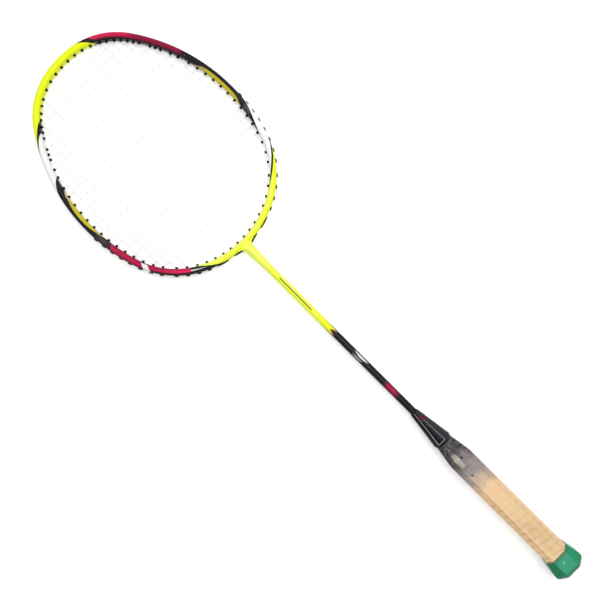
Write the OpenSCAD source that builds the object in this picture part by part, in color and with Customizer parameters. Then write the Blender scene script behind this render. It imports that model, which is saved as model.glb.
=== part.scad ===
// Badminton racket: a hollow moulded hoop and shaft, a wooden handle and a woven string bed.
// The origin is the centre of the butt's end face. +Y runs to the tip, +Z is square to the strings.

/* [Overall] */
// Length from the butt to the tip of the hoop
racket_len = 675; // [665:1:680]
// Distance from the tip back to the hoop's widest line
tip_to_widest = 132.6; // [128:0.2:138]
// Outside length of the hoop, tip to throat
hoop_len = 246.5; // [240:0.5:252]
// Outside width of the hoop
hoop_w = 191; // [186:0.2:197]

/* [Hoop outline] */
// Radius of the upper sides at the widest line, as a multiple of an ellipse's
upper_side = 0.964; // [0.92:0.001:1.03]
// Radius of the upper shoulders, as a multiple of half the width
upper_shoulder = 0.75; // [0.7:0.005:0.79]
// Radius of the tip, as a multiple of an ellipse's
tip = 1.545; // [1.43:0.001:1.7]
// Radius of the lower sides at the widest line, as a multiple of an ellipse's
lower_side = 1.314; // [1.26:0.001:1.41]
// Radius of the lower shoulders, as a multiple of half the width
lower_shoulder = 0.877; // [0.81:0.001:0.905]
// Radius of the throat, as a multiple of an ellipse's
throat = 1.257; // [1.19:0.001:1.41]

/* [Frame section] */
// Width of the frame tube in the plane of the strings
tube_w = 6.4; // [6:0.1:7.2]
// Thickness of the frame tube, square to the strings
tube_h = 10.6; // [9.6:0.1:11.6]
// Wall of the frame tube
tube_wall = 1.1; // [0.9:0.05:1.3]
// Depth of the string groove round the outside
groove_d = 1.4; // [1.3:0.05:1.6]
// Width of the string groove
groove_w = 3.6; // [3.4:0.05:3.8]

/* [Throat] */
// Diameter of the neck at its lower end
neck_d = 7.5; // [7.4:0.1:8.2]
// Diameter of the neck where it meets the fillet
neck_root_d = 9.2; // [8.6:0.1:10]
// Length of the neck below the hoop
neck_len = 30; // [22:0.5:38]
// Radius of the fillets between neck and hoop
neck_fillet = 5; // [4:0.25:6]
// Depth of the shaft inside the neck
socket_len = 27; // [18:0.5:28]
// Length of the inner core's stem inside the shaft
core_stem_len = 32; // [20:1:45]
// Half the angle that the core's arms take up in the frame
core_arm_angle = 13; // [11:0.5:20]
// Angle by which the two centre holes of the throat slant away from the neck
throat_slant = 24; // [20:1:27]

/* [Shaft] */
// Outside diameter of the shaft
shaft_d = 7; // [6.6:0.05:7.2]
// Bore of the shaft
shaft_bore = 4.4; // [4:0.1:4.6]
// Distance from the butt to the shaft's lower end, inside the handle
shaft_start = 72; // [60:1:100]

/* [Strings] */
// Diameter of the string
string_d = 0.7; // [0.62:0.01:0.74]
// Main strings on each side of the centreline
mains_per_side = 10; // [9:1:10]
// Distance from the outermost main strings to the inside of the frame
side_margin = 10.6; // [9.6:0.1:12.4]
// Number of cross strings
cross_count = 22; // [21:1:22]
// Distance from the outside of the throat to the lowest cross string
throat_margin = 30.25; // [29:0.25:31]
// Distance from the top cross string to the tip
tip_margin = 24.2; // [23.6:0.2:27]
// Least distance from a main's own hole to the next cross string's hole
hole_gap = 7; // [6.5:0.1:7.5]

/* [Grommets] */
// Bore of a grommet
grommet_bore = 1.8; // [1.75:0.05:1.9]
// Outside diameter of a grommet's barrel
grommet_d = 2.6; // [2.5:0.05:2.8]
// Height of the barrel above the inside of the frame
barrel_proud = 0.8; // [0.5:0.05:1]
// Length of a grommet's head along the frame
head_len = 3.8; // [3.2:0.1:4.2]
// Width of a grommet's head
head_w = 3.2; // [2.9:0.05:3.3]
// Height of a grommet's head above the outside of the frame, on the lower half
head_proud = 0.7; // [0.4:0.05:0.9]
// Depth of a grommet's head below the outside of the frame, on the upper half
head_sunk = 0.1; // [0.05:0.05:0.25]
// Thickness of the head under the string
head_floor = 0.45; // [0.4:0.05:0.5]
// Height of the throat's double grommets above the outside of the frame
strip_proud = 0.7; // [0.4:0.05:0.9]
// Extra height in the middle of a double grommet
strip_bulge = 0.3; // [0:0.05:0.5]
// Length of a double grommet past the centres of its holes
strip_end = 1.4; // [1.2:0.05:1.6]
// Rise of the double grommets beside the neck, up its fillet
strip_rise = 1.6; // [0.5:0.1:2]
// Mains on each side whose ends at the throat share double grommets
strip_mains = 4; // [4:2:6]

/* [Cone cap] */
// Distance from the butt to the cap's small end
cone_top = 208; // [204:0.5:212]
// Distance from the butt to the cap's large end
cone_base = 169; // [166:0.1:171]
// Diameter of the cap's small end
cone_small_d = 8.5; // [8.2:0.1:9]
// Diameter of the cone where it runs out at the lip
cone_big_d = 18.5; // [17.8:0.1:18.8]
// Diameter of the cap's lip
cone_lip_d = 19.1; // [18.8:0.1:19.8]
// Length of the slope behind the lip
cone_lip_len = 3.3; // [2:0.1:3.6]
// Diameter of the cap's end face
cone_rim_d = 17.5; // [17:0.1:18]
// Wall of the cap
cone_wall = 1.2; // [0.9:0.05:1.4]
// Length of the handle's plug inside the cap, as a share of the space there
spigot = 0.63; // [0.4:0.01:0.9]

/* [Handle] */
// Distance from the butt to the shoulder where the handle starts to taper
shoulder_y = 147.5; // [144:0.5:151]
// Width of the handle at the shoulder
handle_w = 23.6; // [23:0.1:25]
// Thickness of the handle at the shoulder
handle_t = 21.4; // [20.5:0.1:22.5]
// Width of the corner facets, measured across the handle
facet_leg = 5; // [4:0.25:5.5]
// Extra width of the handle just above the butt cap
butt_swell = 0.6; // [0.4:0.1:1.2]
// Width of the handle's tapered end under the cone cap
taper_w = 16.5; // [16.2:0.1:17]
// Width of the corner facets at the tapered end
taper_facet_leg = 4.6; // [4:0.1:5]
// Distance from the butt to the wood's end
wood_start = 8; // [7.5:0.1:9]
// Diameter of the hollow in the wood below the shaft
hollow_d = 12; // [10:0.5:13]
// Length of solid wood between the hollow and the shaft's end
hollow_stop = 6; // [4:0.5:10]

/* [Butt cap] */
// Distance from the butt to the rim at the sides
cap_len = 23.5; // [22:0.25:26]
// Depth of the step in the rim on the front and back
cap_step = 1.3; // [0.8:0.1:3]
// Wall of the cap at its rim
cap_wall = 0.6; // [0.5:0.05:0.9]
// Distance from the butt to the cap's widest line
cap_widest = 6.3; // [5.6:0.1:7.6]
// Width of the cap at its widest line
cap_w = 31.6; // [30.8:0.1:32.4]
// Width of the flat end face
cap_face_w = 16.5; // [13:0.5:18]
// Thickness of the cap's end
cap_end_t = 3.4; // [2.6:0.1:4]

/* [Pins] */
// Diameter of the pin that locks the shaft
pin_d = 1.8; // [1.4:0.1:2.2]
// Distance from the butt to the shaft pin
pin_y = 150; // [140:0.5:153]
// Distance of the shaft pin from the centreline
pin_x = 1; // [0:0.1:1.2]
// Depth of the pin's ends below the wood
pin_sink = 0.4; // [0.2:0.1:0.8]
// Diameter of the nail in the front of the handle
nail_d = 1.6; // [1.2:0.1:2]
// Distance from the butt to the nail
nail_y = 131.5; // [120:0.5:136]
// Distance of the nail from the centreline
nail_x = 3.5; // [2.5:0.1:5]
// Length of the nail
nail_len = 5; // [3:0.5:6]

/* [Fits] */
// Clearance of a grommet in the frame
grommet_gap = 0.05; // [0.03:0.01:0.08]
// Clearance of the glued joints
glue_gap = 0.05; // [0.02:0.01:0.1]
// Clearance between two strings where they cross
string_gap = 0.02; // [0.02:0.01:0.05]

/* [Hidden] */
eps = 0.01;
long = 60;
hairline = 0.01;
lap_len = 3;
lap_inset = 0.3;
collar_len = 9;
cap_ease = 0.4;
cap_bulge = 0.4;
lip_blend = 1;
end_ease = 2.5;
side_ease = 3;
nail_sink = 0.1;
pin_gap = 0.02;
head_slope = 0.6;
slot_extra = 0.2;
bend_out = 0.35;
turn_r = 0.7;
tail_out = 0.5;
close_crossing = 3;
run_step = 5;
strip_step = 2;
string_sides = 6;
shared_at_tip = 1;
shared_at_throat = 3;
crown_mains = 6;
side_crosses = 11;
most_mitre = 1.3;
knot_gap = 0.2;
knot_overlap = 0.06;
left = -1;
right = 1;
upper = 1;
lower = -1;

// ---- Hoop outline: each quarter is three tangent arcs, from the widest line to the end
widest_y = racket_len - tip_to_widest;
half_w = (hoop_w - tube_w) / 2;
throat_y = racket_len - hoop_len;
upper_reach = tip_to_widest - tube_w / 2;
lower_reach = hoop_len - tip_to_widest - tube_w / 2;

function angle_of(v) = atan2(v.y, v.x);
function unit(v) = v / norm(v);

// A quarter in its own plane: u out from the centreline, v away from the widest line.
// The shoulder's centre lies where the circles inside the side arc and the end arc cross.
function quarter(reach, side, shoulder, end) =
    let (
        side_r = side * reach * reach / half_w,
        shoulder_r = shoulder * half_w,
        end_r = end * half_w * half_w / reach,
        c_side = [half_w - side_r, 0],
        c_end = [0, reach - end_r],
        span = c_end - c_side,
        d = norm(span),
        a = side_r - shoulder_r,
        b = end_r - shoulder_r,
        k = (a * a - b * b + d * d) / (2 * d),
        h = sqrt(a * a - k * k),
        c_shoulder = c_side + k * unit(span) + h * unit([-span.y, span.x])
    )
    [c_side, c_shoulder, c_end, side_r, shoulder_r, end_r,
     angle_of(c_shoulder - c_side), angle_of(c_shoulder - c_end)];

quarters = [
    quarter(lower_reach, lower_side, lower_shoulder, throat),
    quarter(upper_reach, upper_side, upper_shoulder, tip)
];
function quarter_of(s) = quarters[s > 0 ? 1 : 0];

// The arc, as [centre, radius], that a point of the quarter belongs to
function arc_at(q, p) =
    angle_of(p - q[0]) <= q[6] ? [q[0], q[3]]
    : angle_of(p - q[2]) >= q[7] ? [q[2], q[5]]
    : [q[1], q[4]];

// Where the line u = constant, or v = constant, meets the outline moved out by off
function u_line(q, u, off, i) = q[i].y + sqrt(pow(q[i + 3] + off, 2) - pow(u - q[i].x, 2));
function v_line(q, v, off, i) = q[i].x + sqrt(pow(q[i + 3] + off, 2) - pow(v - q[i].y, 2));
function hit_u(q, u, off) =
    let (on_side = [u, u_line(q, u, off, 0)], on_end = [u, u_line(q, u, off, 2)])
    angle_of(on_end - q[2]) >= q[7] ? on_end
    : on_side.y > 0 && angle_of(on_side - q[0]) <= q[6] ? on_side
    : [u, u_line(q, u, off, 1)];
function hit_v(q, v, off) =
    let (on_side = [v_line(q, v, off, 0), v])
    angle_of(on_side - q[0]) <= q[6] ? on_side : [v_line(q, v, off, 1), v];

// To and from the whole racket's plane, for the side sx and the end s
function to_plane(p, sx, s) = [sx * p.x, widest_y + s * p.y];
function side_of(p) = p.x < 0 ? left : right;
function end_of(p) = p.y < widest_y ? lower : upper;
function to_quarter(p) = [abs(p.x), abs(p.y - widest_y)];

// The frame's outward direction at a point near it, and the point moved onto the outline
function out_at(p) =
    let (s = end_of(p), a = arc_at(quarter_of(s), to_quarter(p)), n = unit(to_quarter(p) - a[0]))
    [side_of(p) * n.x, s * n.y];
function on_outline(p, off) =
    let (s = end_of(p), a = arc_at(quarter_of(s), to_quarter(p)), n = unit(to_quarter(p) - a[0]))
    to_plane(a[0] + (a[1] + off) * n, side_of(p), s);

// ---- Holes
groove_floor = tube_w / 2 - groove_d;
mouth_off = -tube_w / 2 - barrel_proud;
foot_off = groove_floor + grommet_gap / 2;
function head_off(h) =
    tube_w / 2 + (h[0].y > widest_y - cross_pitch / 2 ? -head_sunk : head_proud);
strip_off = tube_w / 2 + strip_proud;
run_off = foot_off + head_floor + string_d / 2 + string_gap;
lane = (string_d + string_gap) / 2;
barrel_hole_d = grommet_d + 2 * grommet_gap;

main_pitch = (hoop_w / 2 - tube_w - side_margin) / (mains_per_side - 0.5);
cross_pitch = (hoop_len - throat_margin - tip_margin) / (cross_count - 1);
function main_x(m) = (m + 0.5) * main_pitch;
function cross_y(j) = throat_y + throat_margin + j * cross_pitch;
function cross_end(j) = cross_y(j) < widest_y ? lower : upper;
function crosses_at(s) = [for (j = [0 : cross_count - 1]) if (cross_end(j) == s) j];
// The mains on each side, from the middle out, that have a hole of their own at the end s
function free_mains(s) = mains_per_side - (s > 0 ? shared_at_tip : shared_at_throat);
function main_hit(m, s) = hit_u(quarter_of(s), main_x(m), mouth_off);
function cross_hit(j) = hit_v(quarter_of(cross_end(j)), abs(cross_y(j) - widest_y), mouth_off);

// The cross string nearest to a main's end, and the main that shares a cross string's hole
function nearest_cross(m, s) =
    let (
        all = crosses_at(s),
        gaps = [for (j = all) norm(cross_hit(j) - main_hit(m, s))],
        least = min(gaps)
    )
    [for (k = [0 : len(all) - 1]) if (gaps[k] == least) all[k]][0];
function sharing_main(j) =
    let (s = cross_end(j), found = [for (m = [free_mains(s) : mains_per_side - 1])
        if (nearest_cross(m, s) == j) m])
    len(found) > 0 ? found[0] : -1;

// A main with a hole of its own keeps clear of the cross strings' holes on both sides of it
function free_main_point(m, s) =
    let (
        p = main_hit(m, s),
        past = [for (j = crosses_at(s)) if (cross_hit(j).y > p.y) cross_hit(j)],
        before = [for (j = crosses_at(s)) if (cross_hit(j).y <= p.y) cross_hit(j)],
        next = [for (c = past) if (c.y == min([for (b = past) b.y])) c],
        last = [for (c = before) if (c.y == max([for (b = before) b.y])) c][0]
    )
    len(next) > 0 ? (next[0] + last) / 2
    : norm(p - last) < hole_gap ? last + hole_gap * unit(p - last)
    : p;
function shared_point(m, s) = (main_hit(m, s) + cross_hit(nearest_cross(m, s))) / 2;
function main_mouth(m, sx, s) =
    on_outline(to_plane(m < free_mains(s) ? free_main_point(m, s) : shared_point(m, s), sx, s), mouth_off);
function cross_mouth(j, sx) =
    let (m = sharing_main(j), s = cross_end(j))
    m >= 0 ? main_mouth(m, sx, s) : to_plane(cross_hit(j), sx, s);

// A hole is [mouth, direction]: square to the frame, but for the slanted pair beside the neck
function slant_of(p) = norm(p - [0, throat_y]) < 1.5 * main_pitch ? side_of(p) * throat_slant : 0;
function turn(v, a) = [v.x * cos(a) - v.y * sin(a), v.x * sin(a) + v.y * cos(a)];
function hole(p) = [p, turn(out_at(p), slant_of(p))];
function through(h, off) = h[0] + h[1] * (off - mouth_off) / (h[1] * out_at(h[0]));

main_holes = [for (s = [upper, lower], sx = [left, right], m = [0 : mains_per_side - 1])
    hole(main_mouth(m, sx, s))];
cross_holes = [for (sx = [left, right], j = [0 : cross_count - 1])
    if (sharing_main(j) < 0) hole(cross_mouth(j, sx))];
holes = concat(main_holes, cross_holes);
// The holes at the throat are paired in double grommets, and the rest fall in groups
function throat_hole(m, sx) = hole(main_mouth(m, sx, lower));
function at_crown(h) = abs(h[0].x) < crown_mains * main_pitch && h[0].y > widest_y;
side_group_half = side_crosses / 2 * cross_pitch;
function at_side(h, sx) = h[0].x * sx > 0 && abs(h[0].y - widest_y) < side_group_half;
function at_shoulder(h, sx, s) = (h[0].y - widest_y) * s > side_group_half
    && h[0].x * sx > (s > 0 ? crown_mains : strip_mains) * main_pitch;

// ---- Frame
module arc_piece(c, r, from, to)
    translate([c.x, c.y, 0]) rotate([0, 0, from])
        rotate_extrude(angle = to - from, $fn = 180) translate([r, 0]) children();

// Draws in the quarter at the end s and the side sx, with the widest line as the X axis
module in_quarter(s, sx = right)
    translate([0, widest_y, 0]) mirror([sx < 0 ? 1 : 0, 0, 0]) mirror([0, s < 0 ? 1 : 0, 0]) children();

// Sweeps a section along the arc at the tip or the throat, from one angle to another
module end_sweep(s, from, to)
    let (q = quarter_of(s)) in_quarter(s) arc_piece(q[2], q[5], from, to) children();

module rounded_bar(w, h) {
    square([w, h - w], center = true);
    for (s = [-1, 1]) translate([0, s * (h - w) / 2]) circle(d = w, $fn = 64);
}

cavity_w = tube_w - 2 * tube_wall;
cavity_h = tube_h - 2 * tube_wall;
cavity_out = groove_floor - tube_wall;
module cavity_section(grow = 0)
    intersection() {
        rounded_bar(cavity_w + 2 * grow, cavity_h + 2 * grow);
        translate([cavity_out + grow - long, -long / 2]) square([long, long]);
    }

module tube_section(inset = 0)
    difference() {
        rounded_bar(tube_w - 2 * inset, tube_h - 2 * inset);
        translate([groove_floor - inset, -groove_w / 2 - inset]) square([long, groove_w + 2 * inset]);
        cavity_section(inset);
    }

// The arcs of the tube meet at a hairline, and a lap inside the wall joins them there
module tube_arc(c, r, from, to)
    let (cut = hairline / 2 / r * 180 / PI) arc_piece(c, r, from + cut, to - cut) tube_section();
module lap(c, r, a)
    translate([c.x + r * cos(a), c.y + r * sin(a), 0]) rotate([90, 0, a])
        linear_extrude(lap_len, center = true) tube_section(lap_inset);

module hoop_tube() {
    for (s = [upper, lower]) let (q = quarter_of(s)) {
        for (sx = [left, right]) in_quarter(s, sx) {
            tube_arc(q[0], q[3], 0, q[6]);
            tube_arc(q[1], q[4], q[6], q[7]);
            lap(q[1], q[4], q[6]);
            lap(q[2], q[5], q[7]);
        }
        in_quarter(s) tube_arc(q[2], q[5], q[7], 180 - q[7]);
    }
    for (sx = [left, right]) in_quarter(upper, sx) lap([0, 0], half_w, 0);
}

neck_end = throat_y - neck_len;
socket_end = neck_end + socket_len;
neck_root = throat_y - neck_fillet;
neck_top = throat_y + groove_d + tube_wall / 2;

module along_y(y) translate([0, y, 0]) rotate([-90, 0, 0]) children();

// Thins the neck's flare towards the flat side of the tube
module flare_slab() {
    half = neck_root_d / 2 + eps;
    reach = neck_root_d / 2 + neck_fillet;
    drop = half - (tube_h - tube_w) / 2;
    r = (reach * reach + drop * drop) / (2 * drop);
    intersection_for (s = [-1, 1])
        translate([0, 0, s * (r - half)]) along_y(neck_end - eps) cylinder(r = r, h = long, $fn = 360);
}

module neck()
    intersection() {
        along_y(0) rotate_extrude($fn = 96) {
            polygon([[0, neck_end], [neck_d / 2, neck_end], [neck_root_d / 2, neck_root],
                [neck_root_d / 2, neck_top], [0, neck_top]]);
            difference() {
                translate([0, neck_root])
                    square([neck_root_d / 2 + neck_fillet, neck_top - neck_root]);
                translate([neck_root_d / 2 + neck_fillet, neck_root])
                    circle(r = neck_fillet, $fn = 64);
            }
        }
        flare_slab();
    }

// A rod down a hole, between two distances from the frame's centreline
module rod(h, d, from, to)
    let (a = through(h, from), b = through(h, to))
    translate([a.x, a.y, 0]) rotate([0, 90, angle_of(b - a)])
        cylinder(d = d, h = norm(b - a), $fn = 32);
module drill(h) rod(h, barrel_hole_d, mouth_off - 1, tube_w / 2);

// The stretch of the outline from the hole a past the hole b, as points at an offset
function strip_line(a, b, off, past) =
    let (
        p = on_outline(through(a, groove_floor), groove_floor),
        q = on_outline(through(b, groove_floor), groove_floor),
        way = unit(q - p),
        span = norm(q - p) + 2 * past,
        steps = ceil(span / strip_step)
    )
    [for (i = [0 : steps]) on_outline(p + way * (i / steps * span - past), off)];
// Extrudes the stretch between two offsets, its outer side raised in the middle and at a
module strip_band(a, b, from, to, past, width, bulge = 0, rise = 0) {
    low = strip_line(a, b, from, past);
    n = len(low) - 1;
    high = strip_line(a, b, to, past);
    linear_extrude(width, center = true) polygon(concat(low,
        [for (i = [n : -1 : 0]) let (t = i / n)
            high[i] + (bulge * 4 * t * (1 - t) + rise * pow(1 - t, 2)) * out_at(high[i])]));
}

core_stem_d = shaft_bore - 2 * glue_gap;

module hoop_frame() color([0.9, 0.98, 0.1])
    difference() {
        union() {
            hoop_tube();
            neck();
        }
        for (h = holes) drill(h);
        for (sx = [left, right]) strip_band(throat_hole(0, sx), throat_hole(1, sx),
            groove_floor + eps, tube_w / 2 + neck_fillet, strip_end + grommet_gap, groove_w - 2 * eps);
        along_y(neck_end - eps)
            cylinder(d = shaft_d + 2 * glue_gap, h = socket_len + eps, $fn = 64);
        along_y(socket_end - eps)
            cylinder(d = core_stem_d + 2 * glue_gap, h = throat_y + tube_w / 2 - socket_end, $fn = 64);
    }

module throat_core() color([0.2, 0.2, 0.22])
    difference() {
        union() {
            end_sweep(lower, 90 - core_arm_angle, 90 + core_arm_angle) cavity_section(-glue_gap);
            along_y(socket_end - core_stem_len)
                cylinder(d = core_stem_d, h = core_stem_len + throat_y + tube_w / 2 - socket_end, $fn = 64);
        }
        for (h = holes) if (h[0].y < widest_y && abs(h[0].x) < core_reach) drill(h);
    }
core_reach = (quarter_of(lower)[5] + tube_w) * sin(core_arm_angle) + barrel_hole_d;

// ---- Shaft and cone cap
module pin_hole(d) translate([pin_x, pin_y, 0]) cylinder(d = d, h = long, center = true, $fn = 32);

module shaft() color([0.12, 0.12, 0.13])
    difference() {
        along_y(shaft_start) cylinder(d = shaft_d, h = socket_end - shaft_start, $fn = 64);
        along_y(shaft_start - eps) cylinder(d = shaft_bore, h = racket_len, $fn = 64);
        pin_hole(pin_d + 2 * pin_gap);
    }

cone_lip_y = cone_base + cone_lip_len;
cone_collar_y = cone_top - collar_len;
spigot_len = spigot * (cone_collar_y - cone_base);
function cone_r(y) = cone_small_d / 2
    + (cone_big_d - cone_small_d) / 2 * (cone_top - y) / (cone_top - cone_lip_y);
bore_r = shaft_d / 2 + glue_gap;

module cone_cap() color([0.08, 0.08, 0.09])
    along_y(0) rotate_extrude($fn = 96) polygon([
        [bore_r, cone_top], [cone_small_d / 2 - cap_ease, cone_top],
        [cone_small_d / 2, cone_top - cap_ease],
        [cone_r(cone_lip_y + lip_blend), cone_lip_y + lip_blend], [cone_lip_d / 2, cone_lip_y],
        [cone_rim_d / 2, cone_base], [cone_r(cone_lip_y) - cone_wall, cone_base],
        [cone_r(cone_lip_y) - cone_wall, cone_lip_y],
        [cone_r(cone_collar_y) - cone_wall, cone_collar_y], [bore_r, cone_collar_y]]);

// ---- Handle: an octagon that follows a width and a thickness at each station along Y
// A station is [y, half width, half thickness, corner facet]
base_half_w = (handle_w + butt_swell) / 2;
// The handle's section at y, below the shoulder
function grip_station(y) =
    let (swell = butt_swell / 2 * (shoulder_y - y) / (shoulder_y - cap_len))
    [y, handle_w / 2 + swell, handle_t / 2 + swell, facet_leg];
wood_end = cone_base - glue_gap;
wood_stations = [
    grip_station(wood_start),
    grip_station(shoulder_y),
    [wood_end, taper_w / 2, taper_w / 2, taper_facet_leg]
];
// Half the wood's thickness on the taper
function taper_half_t(y) =
    handle_t / 2 - (handle_t - taper_w) / 2 * (y - shoulder_y) / (wood_end - shoulder_y);

// A mirrored outline from [y, half] pairs, cut square to Z
module slab(pairs)
    linear_extrude(2 * long, center = true)
        polygon(concat([for (p = pairs) [p[1], p[0]]],
            [for (i = [len(pairs) - 1 : -1 : 0]) [-pairs[i][1], pairs[i][0]]]));

module octagon_body(stations, grow = 0)
    intersection() {
        slab([for (s = stations) [s[0], s[1] + grow]]);
        rotate([0, 90, 0]) slab([for (s = stations) [s[0], s[2] + grow]]);
        intersection_for (turn_y = [45, -45])
            rotate([0, turn_y, 0]) slab([for (s = stations) [s[0], (s[1] + s[2] - s[3]) / sqrt(2) + grow]]);
    }

module wood() {
    octagon_body(wood_stations);
    spigot_r = [for (y = [cone_lip_y, cone_base + spigot_len]) cone_r(y) - cone_wall - glue_gap];
    along_y(cone_base - 1) cylinder(r1 = spigot_r[0], r2 = spigot_r[1], h = spigot_len + 1, $fn = 64);
}

module nail(grow = 0) {
    translate([-nail_x, nail_y, grip_station(nail_y)[2] - nail_len - grow])
        cylinder(d = nail_d + 2 * grow, h = nail_len - nail_sink + (grow > 0 ? long : 0), $fn = 32);
}

module handle_half(side)
    difference() {
        intersection() {
            wood();
            translate([-long, 0, side > 0 ? 0 : -long]) cube([2 * long, racket_len, long]);
        }
        along_y(shaft_start) cylinder(r = bore_r, h = racket_len, $fn = 64);
        along_y(wood_start - 1)
            cylinder(d = hollow_d, h = shaft_start - hollow_stop - wood_start + 1, $fn = 64);
        pin_hole(pin_d + 2 * pin_gap);
        nail(pin_gap);
    }
module handle_front() color([0.94, 0.79, 0.58]) handle_half(1);
module handle_back() color([0.9, 0.75, 0.54]) handle_half(-1);

// ---- Butt cap
// Rounds the corner b between a and c, starting the bend a distance r before it
function ease(a, b, c, r) =
    let (p = b + r * unit(a - b), q = b + r * unit(c - b))
    [for (t = [0 : 0.2 : 1]) (1 - t) * (1 - t) * p + 2 * t * (1 - t) * b + t * t * q];
// The cap's outline as [y, half], less by thin on its thinner sides
function cap_outline(thin, rim) =
    let (
        a = [0, 0],
        b = [0, cap_face_w / 2 - thin],
        c = [cap_widest, cap_w / 2 - thin + cap_bulge],
        d = [cap_len, rim]
    )
    concat(ease(a, b, c, end_ease), ease(b, c, d, side_ease), [d]);

rim_half_w = base_half_w + glue_gap + cap_wall;
cap_thin = (handle_w - handle_t) / 2;
cap_facet_half = base_half_w - facet_leg + (glue_gap + cap_wall) * (sqrt(2) - 1);
cap_diagonal = [for (p = cap_outline(0, rim_half_w)) [p[0], (p[1] - cap_thin + cap_facet_half) / sqrt(2)]];

module cap_shell()
    intersection() {
        slab(cap_outline(0, rim_half_w));
        rotate([0, 90, 0]) slab(cap_outline(cap_thin, rim_half_w - cap_thin));
        intersection_for (turn_y = [45, -45]) rotate([0, turn_y, 0]) slab(cap_diagonal);
    }

module butt_cap() color([0.12, 0.6, 0.4])
    difference() {
        cap_shell();
        octagon_body([grip_station(wood_start - glue_gap), grip_station(cap_len + 1)], glue_gap);
        along_y(cap_end_t) cylinder(d = cap_face_w + 2, h = wood_start, $fn = 64);
        slab([[cap_len - cap_step, base_half_w - facet_leg], [cap_len + eps, rim_half_w + eps],
            [cap_len + 2, rim_half_w + eps]]);
    }

// ---- Pins
module shaft_pin() color([0.15, 0.14, 0.14])
    let (half = min(handle_t / 2, taper_half_t(pin_y)) - pin_sink)
    translate([pin_x, pin_y, 0]) cylinder(d = pin_d, h = 2 * half, center = true, $fn = 32);
module handle_nail() color([0.45, 0.3, 0.15]) nail();

// ---- Grommets
slot_w = 2 * string_d + 4 * string_gap + slot_extra;

module grommet(h) {
    foot = through(h, foot_off);
    head_h = head_off(h) - foot_off;
    difference() {
        union() {
            translate([foot.x, foot.y, 0]) rotate([0, 0, angle_of(out_at(h[0]))])
                linear_extrude(head_w, center = true) polygon([[0, -head_len / 2], [0, head_len / 2],
                    [head_h, head_len / 2 - head_slope], [head_h, -head_len / 2 + head_slope]]);
            rod(h, grommet_d, mouth_off, foot_off + head_floor / 2);
        }
        translate([foot.x, foot.y, 0]) rotate([0, 0, angle_of(out_at(h[0]))])
            translate([head_floor, -head_len, -slot_w / 2]) cube([head_h, 2 * head_len, slot_w]);
        rod(h, grommet_bore, mouth_off - 1, tube_w);
    }
}

// A strip with two barrels, standing proud of the tube where a main string turns
module double_grommet(a, b, rise = 0)
    difference() {
        union() {
            strip_band(a, b, foot_off, strip_off, strip_end, head_w, strip_bulge, rise);
            for (h = [a, b]) rod(h, grommet_d, mouth_off, foot_off + head_floor / 2);
        }
        strip_band(a, b, foot_off + head_floor, tube_w / 2 + neck_fillet, strip_end + 1, slot_w);
        for (h = [a, b]) rod(h, grommet_bore, mouth_off - 1, tube_w / 2 + neck_fillet);
    }
module throat_strip(sx) color([0.05, 0.05, 0.05])
    double_grommet(throat_hole(0, sx), throat_hole(1, sx), strip_rise);

module grommets_crown() color([0.05, 0.05, 0.05]) for (h = holes) if (at_crown(h)) grommet(h);
module grommets_throat() color([0.05, 0.05, 0.05])
    for (sx = [left, right], m = [2 : 2 : strip_mains - 2])
        double_grommet(throat_hole(m, sx), throat_hole(m + 1, sx));
module grommets_side(sx) color([0.05, 0.05, 0.05]) for (h = holes) if (at_side(h, sx)) grommet(h);
module grommets_shoulder(sx, s) color([0.05, 0.05, 0.05])
    for (h = holes) if (at_shoulder(h, sx, s)) grommet(h);

// ---- String bed: two strings, each swept in one piece and woven through the other
main_lane = -lane;
cross_lane = lane;
last_main = mains_per_side - 1;
top_cross = cross_count - 1;

function crosses_main(m, j) = sharing_main(j) != m && main_x(m) < cross_hit(j).x
    && abs(cross_y(j) - widest_y) < main_hit(m, cross_end(j)).y;
function weave(m, sx, j) = ((sx > 0 ? m : m + 1) + j) % 2 == 0 ? lane : -lane;
function flip(list) = [for (i = [len(list) - 1 : -1 : 0]) list[i]];
function at_z(p, z) = [p.x, p.y, z];

// The last point before a grommet: in its string's lane, unless a crossing lies close by
function bend(h, near, lane_z) =
    let (p = h[0] - bend_out * h[1])
    at_z(p, norm(p - [near.x, near.y]) < close_crossing ? near.z : lane_z);
function main_hole(m, sx, s) = hole(main_mouth(m, sx, s));
function cross_hole(j, sx) = hole(cross_mouth(j, sx));

// One main from the throat to the tip, and one cross string from left to right
function main_line(m, sx) =
    let (mid = [for (j = [0 : top_cross])
        if (crosses_main(m, j)) [sx * main_x(m), cross_y(j), weave(m, sx, j)]])
    concat([bend(main_hole(m, sx, lower), mid[0], main_lane)], mid,
        [bend(main_hole(m, sx, upper), mid[len(mid) - 1], main_lane)]);
function cross_line(j) =
    let (
        half = function (sx) [for (m = [0 : last_main])
            if (crosses_main(m, j)) [sx * main_x(m), cross_y(j), -weave(m, sx, j)]],
        mid = concat(flip(half(left)), half(right))
    )
    concat([bend(cross_hole(j, left), mid[0], cross_lane)], mid,
        [bend(cross_hole(j, right), mid[len(mid) - 1], cross_lane)]);

// Out of the hole a, along the groove and into the hole b
function run(a, b, z) =
    let (
        p = on_outline(through(a, run_off), run_off),
        q = on_outline(through(b, run_off), run_off),
        steps = ceil(norm(q - p) / run_step),
        way = unit(q - p)
    )
    [for (c = concat([through(a, run_off - turn_r), on_outline(p + turn_r * way, run_off)],
        [for (i = [1 : 1 : steps - 1]) on_outline(p + (q - p) * i / steps, run_off)],
        [on_outline(q - turn_r * way, run_off), through(b, run_off - turn_r)])) at_z(c, z)];
// The end that goes back in beside another string, where it is tied
function tail(h, z) = [at_z(h[0] - tail_out * h[1], z)];

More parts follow.
